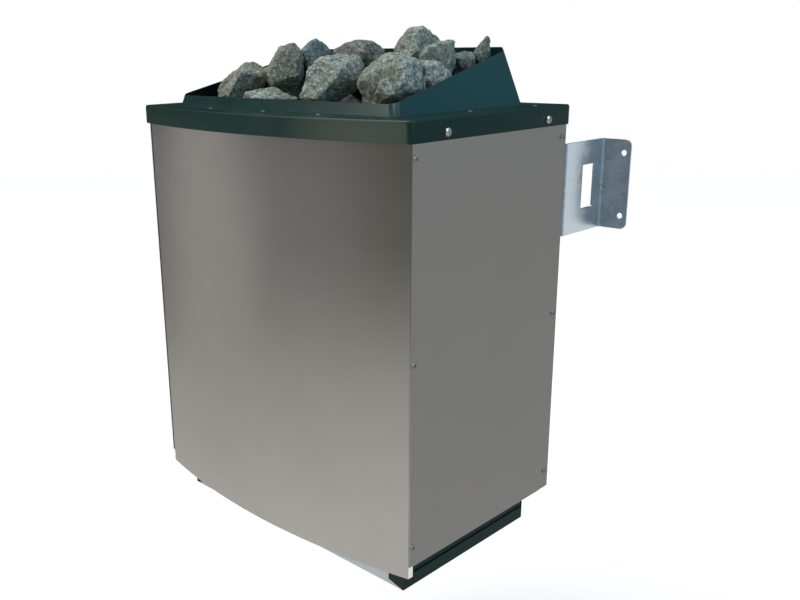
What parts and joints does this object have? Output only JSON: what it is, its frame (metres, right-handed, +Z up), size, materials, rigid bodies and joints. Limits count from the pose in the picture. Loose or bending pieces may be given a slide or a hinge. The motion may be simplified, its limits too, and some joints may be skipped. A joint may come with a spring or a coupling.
{
  "type": "sauna heater stove",
  "caption": "Wall-hung electric sauna heater: bowed stainless casing, dark green top frame and leaning stone hopper filled with split stones, on a galvanised wall bracket.",
  "frame": {"origin": "on the wall plane, midway between the bracket's four screw holes", "axes": "+X to the right seen from the room, +Y into the wall, +Z up"},
  "size_m": [0.47, 0.3614, 0.5673],
  "materials": {
    "stainless": "brushed stainless sheet, grain vertical",
    "green_paint": "dark green powder coat, satin",
    "galvanised": "galvanised sheet, fine spangle",
    "zinc": "zinc-plated screw",
    "element_steel": "heat-darkened steel",
    "ceramic": "unglazed ceramic",
    "gland_plastic": "black heat-resistant plastic",
    "stone": "split grey-green rock, rough"
  },
  "bodies": {
    "bracket": {"wall_bracket": "galvanised"},
    "heater": {"hook_left": "galvanised", "hook_right": "galvanised", "rear_panel": "galvanised", "left_side_panel": "stainless", "right_side_panel": "stainless", "front_panel": "stainless", "base_tray": "green_paint", "terminal_box": "galvanised", "terminal_cover": "galvanised", "terminal_block": "ceramic", "cable_gland": "gland_plastic", "gland_locknut": "gland_plastic", "core_side_left": "green_paint", "core_side_right": "green_paint", "core_front_plate": "galvanised", "core_rear_plate": "galvanised", "stone_grate": "element_steel", "heating_element_left": "element_steel", "heating_element_centre": "element_steel", "heating_element_right": "element_steel", "stone_bed_1": "stone", "stone_bed_2": "stone", "stone_bed_3": "stone", "stone_bed_4": "stone", "stone_hopper": "green_paint", "top_frame": "green_paint", "frame_screw_left_front": "zinc", "frame_screw_right_front": "zinc", "frame_screw_left_rear": "zinc", "frame_screw_right_rear": "zinc", "stone_01": "stone", "stone_02": "stone", "stone_03": "stone", "stone_04": "stone", "stone_05": "stone", "stone_06": "stone", "stone_07": "stone", "stone_08": "stone", "stone_09": "stone", "stone_10": "stone", "stone_11": "stone", "stone_12": "stone", "stone_13": "stone", "stone_14": "stone", "stone_15": "stone", "stone_16": "stone", "stone_17": "stone", "stone_18": "stone", "stone_19": "stone", "stone_20": "stone", "stone_21": "stone", "stone_22": "stone", "stone_23": "stone", "stone_24": "stone"}
  },
  "joints": [
    {"name": "lift_off", "type": "slide", "parent": "bracket", "child": "heater", "axis": [0, 0, 1], "range_m": [0, 0.02]}
  ]
}
